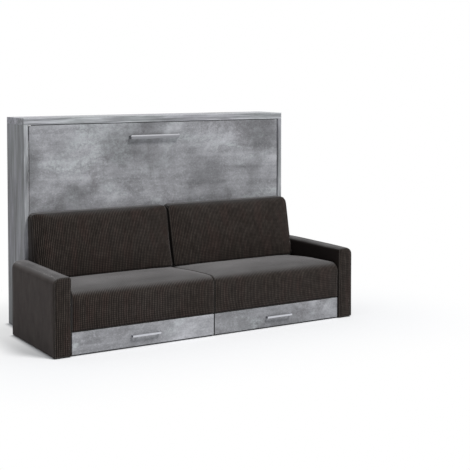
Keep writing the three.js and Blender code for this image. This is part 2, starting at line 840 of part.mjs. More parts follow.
// Ledges on the base's side and divider, which the drawer box slides on.
function drawerRunners(side) {
  const group = new THREE.Group();
  const spanY = [baseFrontY, baseBackY];
  const spanZ = [drawerBoxBottom - seatGap - runnerHeight, drawerBoxBottom - seatGap];
  const inner = innerBoard / 2 + seatGap;
  const outer = armInner - innerBoard - 2 * seatGap;
  const label = sideName(side);
  group.add(block(`drawer_runner_${label}_inner`, steel,
    sideSpan(side, inner, inner + runnerWidth), spanY, spanZ));
  group.add(block(`drawer_runner_${label}_outer`, steel,
    sideSpan(side, outer - runnerWidth, outer), spanY, spanZ));
  return group;
}

// The whole object, moved so that its origin is on the floor in the middle of its outer box

const wallBed = new THREE.Group();
wallBed.add(cabinet());
wallBed.add(pivotHardware());
wallBed.add(bed());
wallBed.add(gasStruts());
wallBed.add(dropLegs());
wallBed.add(sofa());
for (const side of [left, right]) {
  wallBed.add(backCushion(side));
  wallBed.add(drawer(side));
  wallBed.add(drawerRunners(side));
}
wallBed.position.y = totalDepth / 2;

export default wallBed;
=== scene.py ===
import json
import math

import bpy
import numpy as np
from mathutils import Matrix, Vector, noise

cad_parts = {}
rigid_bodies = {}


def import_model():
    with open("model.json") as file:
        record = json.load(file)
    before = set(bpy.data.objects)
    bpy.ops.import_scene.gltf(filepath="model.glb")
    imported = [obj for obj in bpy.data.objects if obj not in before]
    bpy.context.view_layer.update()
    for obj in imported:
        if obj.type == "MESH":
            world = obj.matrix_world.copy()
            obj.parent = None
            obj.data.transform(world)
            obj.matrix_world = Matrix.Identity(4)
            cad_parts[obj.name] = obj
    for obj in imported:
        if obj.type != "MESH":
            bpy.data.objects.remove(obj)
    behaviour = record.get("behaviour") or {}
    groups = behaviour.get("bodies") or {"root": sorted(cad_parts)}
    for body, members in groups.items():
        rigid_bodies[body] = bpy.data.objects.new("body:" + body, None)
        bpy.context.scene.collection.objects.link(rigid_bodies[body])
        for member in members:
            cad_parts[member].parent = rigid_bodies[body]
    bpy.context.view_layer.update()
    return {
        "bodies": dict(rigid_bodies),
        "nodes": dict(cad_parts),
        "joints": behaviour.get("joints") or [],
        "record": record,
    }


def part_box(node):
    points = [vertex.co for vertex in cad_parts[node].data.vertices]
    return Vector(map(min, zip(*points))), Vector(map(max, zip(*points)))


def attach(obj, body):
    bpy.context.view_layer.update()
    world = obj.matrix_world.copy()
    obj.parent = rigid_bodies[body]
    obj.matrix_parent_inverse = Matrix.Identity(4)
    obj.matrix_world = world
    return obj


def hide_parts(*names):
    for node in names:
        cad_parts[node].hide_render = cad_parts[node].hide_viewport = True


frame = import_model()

nodes = frame["nodes"]

SIDES = (("left", -1), ("right", 1))

for other in list(bpy.data.objects):
    if other.name in ("Cube", "Light", "Camera"):
        bpy.data.objects.remove(other)


# Camera, light and stage

def add_object(name, data):
    obj = bpy.data.objects.new(name, data)
    bpy.context.scene.collection.objects.link(obj)
    return obj


CAMERA_PLACE = (-3.6973, -6.8345, 1.7848)
CAMERA_DOWN = 0.045
CAMERA_TURN = -0.55
KEY_TOWARDS = (0.30, -0.46, 0.83)
WORLD_LIGHT = 0.5
WHITE = (1, 1, 1, 1)


def add_camera():
    data = bpy.data.cameras.new("camera")
    data.lens = 83.11
    data.sensor_width = 36
    data.shift_y = -0.2404
    data.clip_end = 200
    camera = add_object("camera", data)
    camera.location = CAMERA_PLACE
    camera.rotation_euler = (math.pi / 2 - CAMERA_DOWN, 0, CAMERA_TURN)
    bpy.context.scene.camera = camera


def add_key():
    data = bpy.data.lights.new("key", "SUN")
    data.energy = 2.75
    data.angle = math.radians(17)
    data.color = (1.0, 0.985, 0.965)
    lamp = add_object("key", data)
    lamp.rotation_euler = Vector(KEY_TOWARDS).to_track_quat("Z", "Y").to_euler()


class Graph:
    """A node tree that is written as nested calls."""

    def __init__(self, tree):
        self.tree = tree
        tree.nodes.clear()

    def feed(self, socket, value):
        if isinstance(value, bpy.types.NodeSocket):
            self.tree.links.new(value, socket)
        else:
            socket.default_value = value

    def add(self, kind, inputs=None, **settings):
        node = self.tree.nodes.new(kind)
        for key, value in settings.items():
            setattr(node, key, value)
        for key, value in (inputs or {}).items():
            self.feed(node.inputs[key], value)
        return node

    def math(self, operation, first, second=0.0):
        return self.add("ShaderNodeMath", {0: first, 1: second}, operation=operation).outputs[0]

    def times(self, first, second):
        return self.math("MULTIPLY", first, second)

    def plus(self, first, second):
        return self.math("ADD", first, second)

    def size(self, value):
        return self.math("ABSOLUTE", value)

    def band(self, value, low, high, out_low=0.0, out_high=1.0):
        return self.add("ShaderNodeMapRange", {"Value": value, "From Min": low, "From Max": high,
                                               "To Min": out_low, "To Max": out_high},
                        interpolation_type="SMOOTHSTEP").outputs[0]

    def mix(self, factor, first, second, blend="MIX"):
        node = self.add("ShaderNodeMix", data_type="RGBA", blend_type=blend)
        for key, value in (("Factor", factor), ("A", first), ("B", second)):
            socket = [s for s in node.inputs if s.name == key and s.enabled][0]
            self.feed(socket, value)
        return [s for s in node.outputs if s.enabled][0]

    def toned(self, color, tone):
        return self.mix(1.0, color, tone, "MULTIPLY")

    def noise(self, vector, scale, detail=4.0, roughness=0.55, distortion=0.0):
        return self.add("ShaderNodeTexNoise", {"Vector": vector, "Scale": scale, "Detail": detail,
                                               "Roughness": roughness,
                                               "Distortion": distortion}).outputs["Fac"]

    def stretched(self, vector, scale, offset, *shape):
        """Noise in stretched space. shape is its scale, detail, roughness and distortion."""
        space = self.add("ShaderNodeMapping", {"Vector": vector, "Scale": scale,
                                               "Location": offset})
        return self.noise(space.outputs[0], *shape)

    def ramp(self, value, stops):
        node = self.add("ShaderNodeValToRGB", {"Fac": value})
        elements = node.color_ramp.elements
        while len(elements) < len(stops):
            elements.new(0.5)
        for element, (place, color) in zip(elements, stops):
            element.position = place
            element.color = color
        return node.outputs[0]

    def here(self, offset=None):
        place = self.add("ShaderNodeTexCoord").outputs["Object"]
        if offset is None:
            return place
        return self.add("ShaderNodeVectorMath", {0: place, 1: offset}, operation="ADD").outputs[0]

    def split(self, vector):
        return self.add("ShaderNodeSeparateXYZ", {0: vector}).outputs

    def facing(self):
        return self.split(self.add("ShaderNodeTexCoord").outputs["Normal"])

    def sideways(self):
        """1 on the faces that look along X."""
        return self.band(self.size(self.facing()[0]), 0.6, 0.8)

    def outward(self):
        """How far a face looks away from the object's middle plane, from -1 to 1."""
        return self.times(self.facing()[0], self.math("SIGN", self.split(self.here())[0]))

    def seen(self):
        """1 for the rays that look at a thing directly, in a mirror or through glass."""
        path = self.add("ShaderNodeLightPath")
        direct = self.math("MAXIMUM", path.outputs["Is Camera Ray"], path.outputs["Is Glossy Ray"])
        return self.math("MAXIMUM", direct, path.outputs["Is Transmission Ray"])


def add_world():
    world = bpy.data.worlds.new("studio")
    bpy.context.scene.world = world
    world.use_nodes = True
    graph = Graph(world.node_tree)
    light = graph.add("ShaderNodeBackground", {"Color": (0.965, 0.98, 1.0, 1),
                                               "Strength": WORLD_LIGHT})
    white = graph.add("ShaderNodeBackground", {"Color": WHITE, "Strength": 1.0})
    shown = graph.add("ShaderNodeMixShader", {0: graph.seen(), 1: light.outputs[0],
                                              2: white.outputs[0]})
    graph.add("ShaderNodeOutputWorld", {"Surface": shown.outputs[0]})


FLOOR_HALF = 30.0
SOFA_REACH, CABINET_REACH = 1.15, 1.06
DEPTH_REACH = 0.53


def add_floor():
    """A pale floor that keeps the object's shadow, lightened a little way out by painted white
    glow, and fades to white away from it.
    """
    corners = [(x * FLOOR_HALF, y * FLOOR_HALF, 0) for x, y in ((-1, -1), (1, -1), (1, 1), (-1, 1))]
    mesh = bpy.data.meshes.new("floor")
    mesh.from_pydata(corners, [], [(0, 1, 2, 3)])
    material = bpy.data.materials.new("floor")
    material.use_nodes = True
    graph = Graph(material.node_tree)
    x, y, _ = graph.split(graph.here())
    reach = graph.band(y, 0.19, 0.24, SOFA_REACH, CABINET_REACH)
    offsets = [graph.math("MAXIMUM", graph.math("SUBTRACT", graph.size(place), limit), 0.0)
               for place, limit in ((x, reach), (y, DEPTH_REACH))]
    outside = graph.add("ShaderNodeCombineXYZ", dict(enumerate(offsets)))
    away = graph.add("ShaderNodeVectorMath", {0: outside.outputs[0]},
                     operation="LENGTH").outputs["Value"]
    # From a few centimetres out, part of the floor glows white, more towards the rear: painted
    # light that lightens the object's shadow.
    rearward = graph.plus(graph.band(y, -0.45, 0.3, 0.24, 0.62),
                          graph.band(y, 0.3, 0.7, 0.0, 0.12))
    near = graph.times(graph.band(away, 0.0, 0.05), rearward)
    far = graph.times(graph.band(away, 0.05, 1.2), graph.math("SUBTRACT", 1.0, rearward))
    fade = graph.times(graph.plus(near, far), graph.seen())
    pale = graph.add("ShaderNodeBsdfDiffuse", {"Color": (0.78, 0.79, 0.81, 1)})
    white = graph.add("ShaderNodeEmission", {"Color": WHITE, "Strength": 1.0})
    shown = graph.add("ShaderNodeMixShader", {0: fade, 1: pale.outputs[0], 2: white.outputs[0]})
    graph.add("ShaderNodeOutputMaterial", {"Surface": shown.outputs[0]})
    mesh.materials.append(material)
    add_object("floor", mesh)


# Materials

def grey(value):
    return (value, value, value, 1)


def cool(value):
    return (value * 0.985, value, value * 1.065, 1)


def cools(*stops):
    return [(place, cool(value)) for place, value in stops]


def greys(*stops):
    return [(place, grey(value)) for place, value in stops]


ASIS = (0, 0, 0)
SOCKETS = {"sheen_weight": "Sheen Weight", "sheen_roughness": "Sheen Roughness",
           "sheen_tint": "Sheen Tint", "specular": "Specular IOR Level"}


def surface(name, build, metallic=0.0, **constants):
    """A material. build(graph) gives its colour, roughness, bump height and bump depth."""
    material = bpy.data.materials.new(name)
    material.use_nodes = True
    graph = Graph(material.node_tree)
    color, roughness, height, depth = build(graph)
    bump = graph.add("ShaderNodeBump", {"Height": height, "Distance": depth, "Strength": 1.0})
    shader = graph.add("ShaderNodeBsdfPrincipled", {
        "Base Color": color, "Roughness": roughness, "Metallic": metallic,
        "Normal": bump.outputs[0]})
    for key, value in constants.items():
        shader.inputs[SOCKETS[key]].default_value = value
    graph.add("ShaderNodeOutputMaterial", {"Surface": shader.outputs[0]})
    return material


def concrete_look(offset, tone, drifting, painted_edge_tone, seam=0.0):
    """Concrete print. The edge tone is painted on the edges that look along X: painted light on the
    panel's edges, painted shade on the drawers'. seam is how far from x = 0 that tone goes round on
    to the front, a painted shadow line where the drawer fronts meet."""
    def build(graph):
        here = graph.here(offset)
        broad = graph.stretched(here, (0.7, 1, 1.1), ASIS, 2.2, 5, 0.58, 0.8)
        base = graph.ramp(broad, cools((0.36, 0.085), (0.46, 0.175), (0.54, 0.285), (0.64, 0.48)))
        cloud = graph.stretched(here, (0.85, 1, 1.35), (3, 1, 2), 8.5, 8, 0.66, 0.5)
        base = graph.mix(0.42, base, graph.ramp(cloud, cools(
            (0.34, 0.10), (0.5, 0.245), (0.66, 0.43))))
        streak = graph.stretched(here, (0.7, 1, 9), (1, 5, 2), 2.0, 5, 0.58, 0.3)
        base = graph.mix(0.22, base, graph.ramp(streak, cools((0.38, 0.10), (0.64, 0.44))))
        scuffed = graph.stretched(here, (0.6, 1, 1.1), (7, 2, 4), 3.1, 8, 0.62, 1.0)
        stained = graph.stretched(here, (1.1, 1, 0.7), (4, 9, 1), 2.7, 8, 0.64, 0.7)
        broken = graph.stretched(here, (1, 1, 1.3), (2, 8, 5), 30, 9, 0.74)
        for patch, start, ragged, share, shade in (
                (scuffed, 0.51, (0.42, 0.60, 0.12, 1.0), 0.62, (0.405, 0.440, 0.450, 1)),
                (stained, 0.515, (0.38, 0.56, 0.25, 1.0), 0.70, (0.125, 0.122, 0.130, 1))):
            cover = graph.times(graph.band(patch, start, 0.62), graph.band(broken, *ragged))
            base = graph.mix(graph.times(cover, share), base, shade)
        grain = graph.stretched(here, (1, 1, 1.25), (6, 3, 9), 62, 5, 0.72)
        speck = graph.noise(here, 210, 4, 0.7)
        for value, start, end, most, shade in (
                (grain, 0.50, 0.72, 0.42, 0.44), (grain, 0.49, 0.30, 0.42, 0.125),
                (speck, 0.45, 0.70, 0.30, 0.42), (speck, 0.50, 0.30, 0.30, 0.12)):
            base = graph.mix(graph.band(value, start, end, 0.0, most), base, cool(shade))
        drift = graph.stretched(here, (0.9, 1, 1), (2.5, 1, 4.5), 2.1, 3, 0.5, 0.4)
        base = graph.toned(base, graph.band(drift, 0.36, 0.62, 1 - 0.26 * drifting,
                                            1 + 0.24 * drifting))
        edge = graph.sideways()
        # Painted shadow line: on the drawers the edge tone goes round on to the front near x = 0,
        # where the fronts meet.
        if seam:
            aside = graph.size(graph.split(graph.here())[0])
            edge = graph.math("MAXIMUM", edge, graph.band(aside, seam, seam + 0.0012, 1.0, 0.0))
        # The edge tone on the faces that look along X: painted light on the panel, painted shade on
        # the drawers.
        base = graph.toned(base, graph.mix(edge, grey(tone), grey(painted_edge_tone)))
        return base, graph.band(cloud, 0.3, 0.7, 0.50, 0.66), speck, 0.00012
    return build


def streaked_board(along, offset, tone, outward_shade_tone, lines):
    """Boards whose streaks run along X or Z. The flank tone is painted shade on the faces that look
    outward.
    """
    def build(graph):
        scale, fine = [9.0] * 3, [lines] * 3
        scale["xyz".index(along)] = 1.2
        fine["xyz".index(along)] = 2.2
        here = graph.here(offset)
        broad = graph.stretched(here, scale, ASIS, 1.0, 5, 0.6, 0.5)
        base = graph.ramp(broad, cools((0.35, 0.075), (0.46, 0.185), (0.56, 0.31), (0.66, 0.54)))
        line = graph.stretched(here, fine, ASIS, 1.0, 7, 0.7, 0.25)
        base = graph.mix(0.60, base, graph.ramp(line, cools(
            (0.37, 0.055), (0.5, 0.25), (0.63, 0.54))))
        speck = graph.noise(here, 240, 3, 0.6)
        base = graph.mix(graph.band(speck, 0.35, 0.65, 0.0, 0.14), base, cool(0.40))
        cast = graph.stretched(here, (0.4, 0.4, 0.3), ASIS, 6.0, 3, 0.5)
        base = graph.toned(base, graph.ramp(cast, [(0.36, (0.965, 1.0, 0.97, 1)),
                                                   (0.64, (1.0, 0.985, 1.015, 1))]))
        # Painted shade: the faces that look outward take the darker flank tone.
        side = graph.band(graph.outward(), 0.6, 0.8)
        base = graph.toned(base, graph.mix(side, grey(tone), grey(outward_shade_tone)))
        return base, graph.band(line, 0.3, 0.7, 0.5, 0.66), line, 0.00025
    return build


def plain_board(graph):
    here = graph.here()
    cloud = graph.noise(here, 5.5, 4, 0.5)
    grain = graph.stretched(here, (1, 1, 5), ASIS, 130, 4, 0.6)
    base = graph.ramp(cloud, greys((0.3, 0.165), (0.7, 0.205)))
    base = graph.mix(graph.band(grain, 0.3, 0.7, 0.0, 0.3), base, grey(0.27))
    return base, graph.band(grain, 0.3, 0.7, 0.55, 0.7), grain, 0.0001


RIB_PITCH = 0.0118
CROSS_PITCH = 0.0128
TWO_PI = 2 * math.pi


def ribbed_fabric(side_shade_tone, top_light_tone):
    """Ribbed cloth that looks smooth from the side and smooth and grey from above.
    The sides carry painted shade, and the tops painted light and sheen.
    """
    def wave(graph, place, pitch):
        return graph.math("SINE", graph.times(place, TWO_PI / pitch))

    def build(graph):
        here = graph.here()
        x, y, z = graph.split(here)
        normal = graph.facing()
        raised = graph.times(graph.math("MAXIMUM", normal[2], 0.0), 0.35)
        # Faces that look along X take a smoother side colour, darkened by the side tone: painted
        # shade.
        side = graph.band(graph.plus(graph.size(normal[0]), raised), 0.78, 0.90)
        # Faces that look in towards the middle, such as the arms' inner faces, are painted
        # near-black: painted shade.
        inward_shade = graph.band(graph.outward(), -0.80, -0.60, 1.0, 0.0)
        # Faces that look up take a light grey: painted light and sheen.
        up = graph.band(normal[2], 0.45, 0.95)
        waver = graph.times(graph.math("SUBTRACT", graph.noise(here, 5.0, 2), 0.5), 0.012)
        level = graph.math("SUBTRACT", 1.0, side)
        across = graph.plus(graph.plus(graph.times(x, level), graph.times(y, side)), waver)
        along = graph.plus(z, graph.times(y, level))
        crest = graph.band(wave(graph, across, RIB_PITCH), -0.85, 0.6)
        knot = graph.band(wave(graph, along, CROSS_PITCH), -1.0, 0.9, 0.56, 1.0)
        calm = graph.math("MAXIMUM", graph.times(side, 0.90), graph.times(up, 0.55))
        height = graph.math("MAXIMUM", graph.times(crest, knot), calm)
        heather = graph.stretched(here, (60, 60, 9), ASIS, 1.0, 4, 0.7)
        worn = graph.noise(here, 3.0, 4, 0.6)
        warm = graph.stretched(here, (14, 14, 3), ASIS, 1.0, 2, 0.5)
        yarn = graph.ramp(heather, [(0.3, (0.028, 0.0215, 0.0180, 1)),
                                    (0.7, (0.064, 0.0520, 0.0450, 1))])
        yarn = graph.mix(graph.band(warm, 0.45, 0.65, 0.0, 0.45), yarn, (0.062, 0.038, 0.033, 1))
        yarn = graph.mix(graph.band(worn, 0.35, 0.7, 0.0, 0.30), yarn, (0.070, 0.062, 0.058, 1))
        mottle = graph.band(graph.noise(here, 24, 3, 0.6), 0.36, 0.64, 0.86, 1.12)
        yarn = graph.toned(yarn, mottle)
        rubbed = graph.stretched(here, (20, 20, 9), ASIS, 1.0, 7, 0.78)
        # The side colour, darker on the seats' and backs' ends through the side tone: painted
        # shade.
        shaded_side = graph.ramp(rubbed, [(0.36, (0.0270, 0.0205, 0.0180, 1)),
                                          (0.64, (0.0480, 0.0385, 0.0345, 1))])
        # Painted shade: the inward faces take a near-black side colour.
        shaded_side = graph.mix(inward_shade, shaded_side, (0.0115, 0.0080, 0.0068, 1))
        yarn = graph.mix(side, yarn, graph.toned(shaded_side, grey(side_shade_tone)))
        # The light grey of the tops, varied at random and toned per piece: painted light and sheen.
        top_light_noise = graph.stretched(here, (0.8, 1.6, 1), (2, 3, 0), 1.9, 3, 0.5)
        painted_top_light = graph.ramp(top_light_noise, [(0.38, (0.120, 0.117, 0.118, 1)),
                                      (0.62, (0.185, 0.181, 0.183, 1))])
        yarn = graph.mix(up, yarn, graph.toned(painted_top_light, grey(top_light_tone)))
        return graph.mix(height, (0.0040, 0.0028, 0.0024, 1), yarn), 0.92, height, 0.0009
    return build


def welt_fabric(graph):
    twist = graph.noise(graph.here(), 420, 3, 0.6)
    color = graph.ramp(twist, [(0.3, (0.020, 0.017, 0.015, 1)), (0.7, (0.055, 0.049, 0.045, 1))])
    return color, 0.85, twist, 0.0004


def brushed(along, tone, ends=1.0, dull=0.0):
    """Brushed metal. ends is the share of the tone on the faces that look along X,
    painted shade on the handles' ends and legs.
    """
    def build(graph):
        scale = [900.0] * 3
        scale["xyz".index(along)] = 12.0
        brush = graph.stretched(graph.here(), scale, ASIS, 1.0, 5, 0.65)
        color = graph.ramp(brush, cools((0.25, tone * 0.82), (0.75, tone)))
        # Painted shade on the faces that look along X.
        color = graph.toned(color, graph.mix(graph.sideways(), grey(1.0), grey(ends)))
        return color, graph.band(brush, 0.25, 0.75, 0.24 + dull, 0.42 + dull), brush, 0.00004
    return build


def painted_steel(graph):
    grain = graph.noise(graph.here(), 700, 4, 0.6)
    color = graph.ramp(grain, greys((0.3, 0.010), (0.7, 0.022)))
    return color, graph.band(grain, 0.3, 0.7, 0.38, 0.55), grain, 0.00006


def beech_wood(graph):
    here = graph.here()
    ring = graph.stretched(here, (40, 40, 2.2), ASIS, 1.0, 5, 0.6, 0.8)
    fleck = graph.stretched(here, (700, 700, 60), ASIS, 1.0, 3, 0.6)
    base = graph.ramp(ring, [(0.3, (0.42, 0.245, 0.115, 1)), (0.5, (0.56, 0.36, 0.19, 1)),
                             (0.7, (0.64, 0.44, 0.26, 1))])
    base = graph.mix(graph.band(fleck, 0.55, 0.7, 0.0, 0.35), base, (0.30, 0.16, 0.07, 1))
    return base, graph.band(ring, 0.3, 0.7, 0.42, 0.55), fleck, 0.00008


def ticking(graph):
    here = graph.here()
    weave = graph.noise(here, 500, 3, 0.6)
    cloud = graph.noise(here, 6, 3, 0.5)
    base = graph.ramp(cloud, [(0.3, (0.70, 0.69, 0.66, 1)), (0.7, (0.78, 0.77, 0.745, 1))])
    base = graph.mix(graph.band(weave, 0.35, 0.65, 0.0, 0.25), base, (0.60, 0.59, 0.57, 1))
    return base, 0.88, weave, 0.0003


LANE_PITCH, PICK_PITCH = 0.004, 0.0022


def webbing_weave(graph):
    x, y, z = graph.split(graph.here())
    lane = graph.math("SINE", graph.times(x, TWO_PI / LANE_PITCH))
    pick = graph.math("SINE", graph.times(graph.plus(y, z), TWO_PI / PICK_PITCH))
    height = graph.times(graph.band(lane, -1, 1), graph.band(pick, -1, 1, 0.4, 1.0))
    return graph.mix(height, grey(0.006), (0.022, 0.022, 0.026, 1)), 0.8, height, 0.0005


def moulded(tone):
    def build(graph):
        grain = graph.noise(graph.here(), 900, 3, 0.6)
        color = graph.ramp(grain, greys((0.3, tone * 0.75), (0.7, tone * 1.2)))
        return color, graph.band(grain, 0.3, 0.7, 0.5, 0.72), grain, 0.00008
    return build


def dress(material, slot, *names):
    for name in names:
        node = nodes[name]
        node.material_slots[0].material = material


def both(*stems):
    return [f"{stem}_{side}" for stem in stems for side, _ in SIDES]


SHEEN_TINT = (0.90, 0.87, 0.87, 1)
# For each piece, the tone of the painted shade on its sides and of the painted light on its tops.
FABRIC_SHADE_AND_LIGHT = {"sofa_arm": (1.0, 0.84), "seat_cushion": (0.7, 1.0), "back_cushion": (0.50, 0.36)}
FABRICS = {stem: surface(f"ribbed_{stem}", ribbed_fabric(*shade_and_light), specular=0.12,
                         sheen_weight=0.45, sheen_roughness=0.28, sheen_tint=SHEEN_TINT)
           for stem, shade_and_light in FABRIC_SHADE_AND_LIGHT.items()}
WELT = surface("welt_fabric", welt_fabric, specular=0.15, sheen_weight=0.35,
               sheen_roughness=0.25, sheen_tint=SHEEN_TINT)
# 2.28 lightens the panel's side edges inside the gaps: painted light.
PANEL = surface("concrete_panel", concrete_look(ASIS, 0.95, 1.0, 2.28))
DRAWER_LOOKS = {"left": ((2.1, 7.3, 8.5), 1.14), "right": ((11.0, 2.8, 0.9), 0.91)}
# 0.20 darkens the drawers' ends, and 0.0036 either side of x = 0 their fronts where they meet:
# painted shade.
DRAWER_PANELS = {side: surface(f"concrete_drawer_{side}",
                               concrete_look(offset, tone, 0.35, 0.20, 0.0036))
                 for side, (offset, tone) in DRAWER_LOOKS.items()}
# 0.61 and 0.86 are painted shade on the boards' outward faces.
UPRIGHT = surface("streaked_upright", streaked_board("z", ASIS, 1.20, 0.61, 27.0))
LEVEL = surface("streaked_level", streaked_board("x", (3, 1, 2), 1.20, 0.86, 52.0))
INNER = surface("plain_board", plain_board)
# The handles' ends and legs take painted shade through ends.
HANDLE = surface("handle_metal", brushed("x", 0.66, 0.4), metallic=1.0)
# A darker, less metallic copy of the handle metal for the bed's handle: painted shade for the dark
# surroundings it reflects.
SHADED_BED_HANDLE = surface("bed_handle_shaded_metal", brushed("x", 0.35, 0.50, 0.24), metallic=0.25,
                     specular=0.25)
STEEL = surface("zinc_steel", brushed("z", 0.45), metallic=1.0)
BLACK_STEEL = surface("black_steel", painted_steel, metallic=0.5)
BEECH = surface("beech", beech_wood)
TICKING = surface("mattress_cloth", ticking, specular=0.2, sheen_weight=0.3,
                  sheen_roughness=0.5)
WEBBING = surface("webbing", webbing_weave, specular=0.25)
PLASTIC = surface("black_plastic", moulded(0.014))
# The dark pile in the gaps round the bed's panel: painted shade.
PILE = surface("gap_shade_pile", moulded(0.020), specular=0.1)
RUBBER = surface("rubber", moulded(0.011), specular=0.2)


def dress_cad():
    dress(PANEL, "concrete_board", "bed_front_panel")
    for side, _ in SIDES:
        dress(DRAWER_PANELS[side], "concrete_board", f"drawer_front_{side}")
    dress(UPRIGHT, "streaked_board", *both("cabinet_side"))
    dress(LEVEL, "streaked_board", "cabinet_top")
    dress(INNER, "plain_board", "front_skirt", "cabinet_bottom_board", "lower_back_rail",
          "upper_back_rail", "frame_rail_lower", "frame_rail_upper", *both("frame_end"),
          *both("base_side"), "base_divider", "base_back", "seat_deck", *both("drawer_box"))
    dress(HANDLE, "handle_metal", "bed_handle", *both("drawer_handle"))
    runners = [f"drawer_runner_{side}_{end}" for side, _ in SIDES for end in ("inner", "outer")]
    dress(STEEL, "steel", *both("wall_bracket", "pivot_plate", "strut_bracket",
                                "bed_pivot_plate", "leg_pin", "strut_rod"), *runners)
    dress(BLACK_STEEL, "black_steel", *both("strut_cylinder", "leg_bar"))
    dress(BEECH, "beech", "slat_deck")
    dress(WEBBING, "webbing", *both("mattress_strap"))
    dress(PLASTIC, "black_plastic", *both("arm_glide", "sofa_fixing"))
    dress(RUBBER, "rubber", *both("leg_foot"))


# Soft forms

def grid_key(axis, end, u, v):
    """The steps along X, Y and Z of a point on the face at that end of axis."""
    steps = (end, u, v)
    return steps[-axis:] + steps[:-axis]


def box_grid(counts):
    """The surface of a box: points in shares from -1 to 1, quads, and the index of each key."""
    index, points, quads = {}, [], []

    def place(key):
        if key not in index:
            index[key] = len(points)
            points.append([2 * step / count - 1 for step, count in zip(key, counts)])
        return index[key]

    for axis in range(3):
        for end in (0, counts[axis]):
            for u in range(counts[(axis + 1) % 3]):
                for v in range(counts[(axis + 2) % 3]):
                    corners = [place(grid_key(axis, end, u + step_u, v + step_v))
                               for step_u, step_v in ((0, 0), (1, 0), (1, 1), (0, 1))]
                    quads.append(corners if end else corners[::-1])
    return np.array(points), quads, index


def ring_of(index, counts, axis, end):
    """The indices of the points round the rim of one face of the box grid, in order."""
    wide, high = counts[(axis + 1) % 3], counts[(axis + 2) % 3]
    steps = [(u, 0) for u in range(wide)] + [(wide, v) for v in range(high)]
    steps += [(wide - u, high) for u in range(wide)] + [(0, high - v) for v in range(high)]
    return [index[grid_key(axis, end, u, v)] for u, v in steps]


def spread_out(away, rows, count, core, radius):
    """How far out a point of the grid goes: evenly up to core, then round the edge."""
    flat = 1 - 2 * rows / count
    angle = np.clip((away - flat) / (1 - flat), 0, 1) * math.pi / 4
    return np.where(away <= flat, core * away / flat, core + radius * np.tan(angle))


def rounded(points, counts, half, edge, rows):
    """Spreads the grid over a box of that half size with rounded edges."""
    core = half - edge
    spread = np.sign(points) * spread_out(np.abs(points), rows, np.array(counts), core, edge)
    inner = np.clip(spread, -core, core)
    return inner + unit(spread - inner) * edge, spread / half


RIM_ROWS = 3


def panelled(points, counts, half, axis, corners, corner_rows, rim):
    """Spreads the grid over a form that is one band of cloth with a panel at each end of axis.

    corners gives the radius at each corner of the section, by the signs of its two axes, and rim
    the small radius between the band and the end panels.
    """
    plane = [1 - axis, 2]
    section = points[:, plane]
    most = np.maximum(np.abs(section).max(axis=1), 1e-9)
    edge = section / most[:, None]
    reach, steps = half[plane], np.array(counts)[plane]
    signs = np.where(edge < 0, -1, 1)
    radius = np.array([corners[tuple(pair)] for pair in signs.tolist()])[:, None]
    core = reach - radius
    spread = signs * spread_out(np.abs(edge), corner_rows, steps, core, radius)
    inner = np.clip(spread, -core, core)
    normal = unit(spread - inner)
    along = np.abs(points[:, axis])
    capped = along > 0.9999
    flat_along = 1 - 2 * RIM_ROWS / counts[axis]
    flat_cap = 1 - 2 * RIM_ROWS / steps.min()
    turn = np.clip((along - flat_along) / (1 - flat_along), 0, 1)
    turn = np.where(capped, 1 + np.clip((1 - most) / (1 - flat_cap), 0, 1), turn) * math.pi / 4
    straight = (half[axis] - rim) * np.minimum(along / flat_along, 1)
    shrink = np.where(capped, np.minimum(most / flat_cap, 1), 1)[:, None]
    moved = np.empty_like(points)
    moved[:, axis] = np.sign(points[:, axis]) * (straight + rim * np.sin(turn))
    moved[:, plane] = (inner + normal * (radius - rim * (1 - np.cos(turn))[:, None])) * shrink
    return moved, moved / half


def crown_and_pull(points, share, crown, pull):
    """Swells the middle of each face and draws the edges in between the corners."""
    moved = points.copy()
    for axis, across, along in ((0, 1, 2), (1, 2, 0), (2, 0, 1)):
        bow_across = 1 - share[:, across] ** 2
        bow_along = 1 - share[:, along] ** 2
        reach = np.sign(share[:, axis]) * np.abs(share[:, axis]) ** 3
        edges = bow_across * share[:, along] ** 4 + bow_along * share[:, across] ** 4
        shift = reach * (crown[axis] * bow_across * bow_along - pull[axis] * edges)
        if axis == 2:
            shift = np.where(share[:, 2] < 0, 0, shift)
        moved[:, axis] += shift
    return moved


def mesh_object(name, points, faces, material):
    mesh = bpy.data.meshes.new(name)
    mesh.from_pydata([tuple(p) for p in points], [], [tuple(f) for f in faces])
    mesh.polygons.foreach_set("use_smooth", [True] * len(mesh.polygons))
    mesh.materials.append(material)
    return add_object(name, mesh)


def subdivide(obj):
    smooth = obj.modifiers.new("smooth", "SUBSURF")
    smooth.levels = 1
    smooth.render_levels = 1


def crease(obj, degrees):
    obj.modifiers.new("split", "EDGE_SPLIT").split_angle = math.radians(degrees)


def per_vertex(mesh, name="co"):
    """The place of each vertex, or another vector that the mesh keeps for it."""
    values = np.empty(len(mesh.vertices) * 3)
    mesh.vertices.foreach_get(name, values)
    return values.reshape(-1, 3)


def unit(vectors):
    """The same vectors at length 1, and no length where there is none."""
    return vectors / np.maximum(np.linalg.norm(vectors, axis=-1, keepdims=True), 1e-9)


def write_points(mesh, points):
    mesh.vertices.foreach_set("co", np.asarray(points, np.float32).ravel())
    mesh.update()


def noise_at(points, scale, seed):
    """Smooth noise from about -1 to 1 at each point."""
    return np.array([noise.noise(Vector(place)) for place in points * np.array(scale) + seed])


CLOTH = {"quality": 5, "mass": 0.3, "tension_stiffness": 15, "compression_stiffness": 12,
         "shear_stiffness": 5, "use_pressure": True, "vertex_group_mass": "held"}
SIMULATED_FRAMES = 20
EVENING_ROUNDS = 14
LOWEST_SHIFT = -0.001


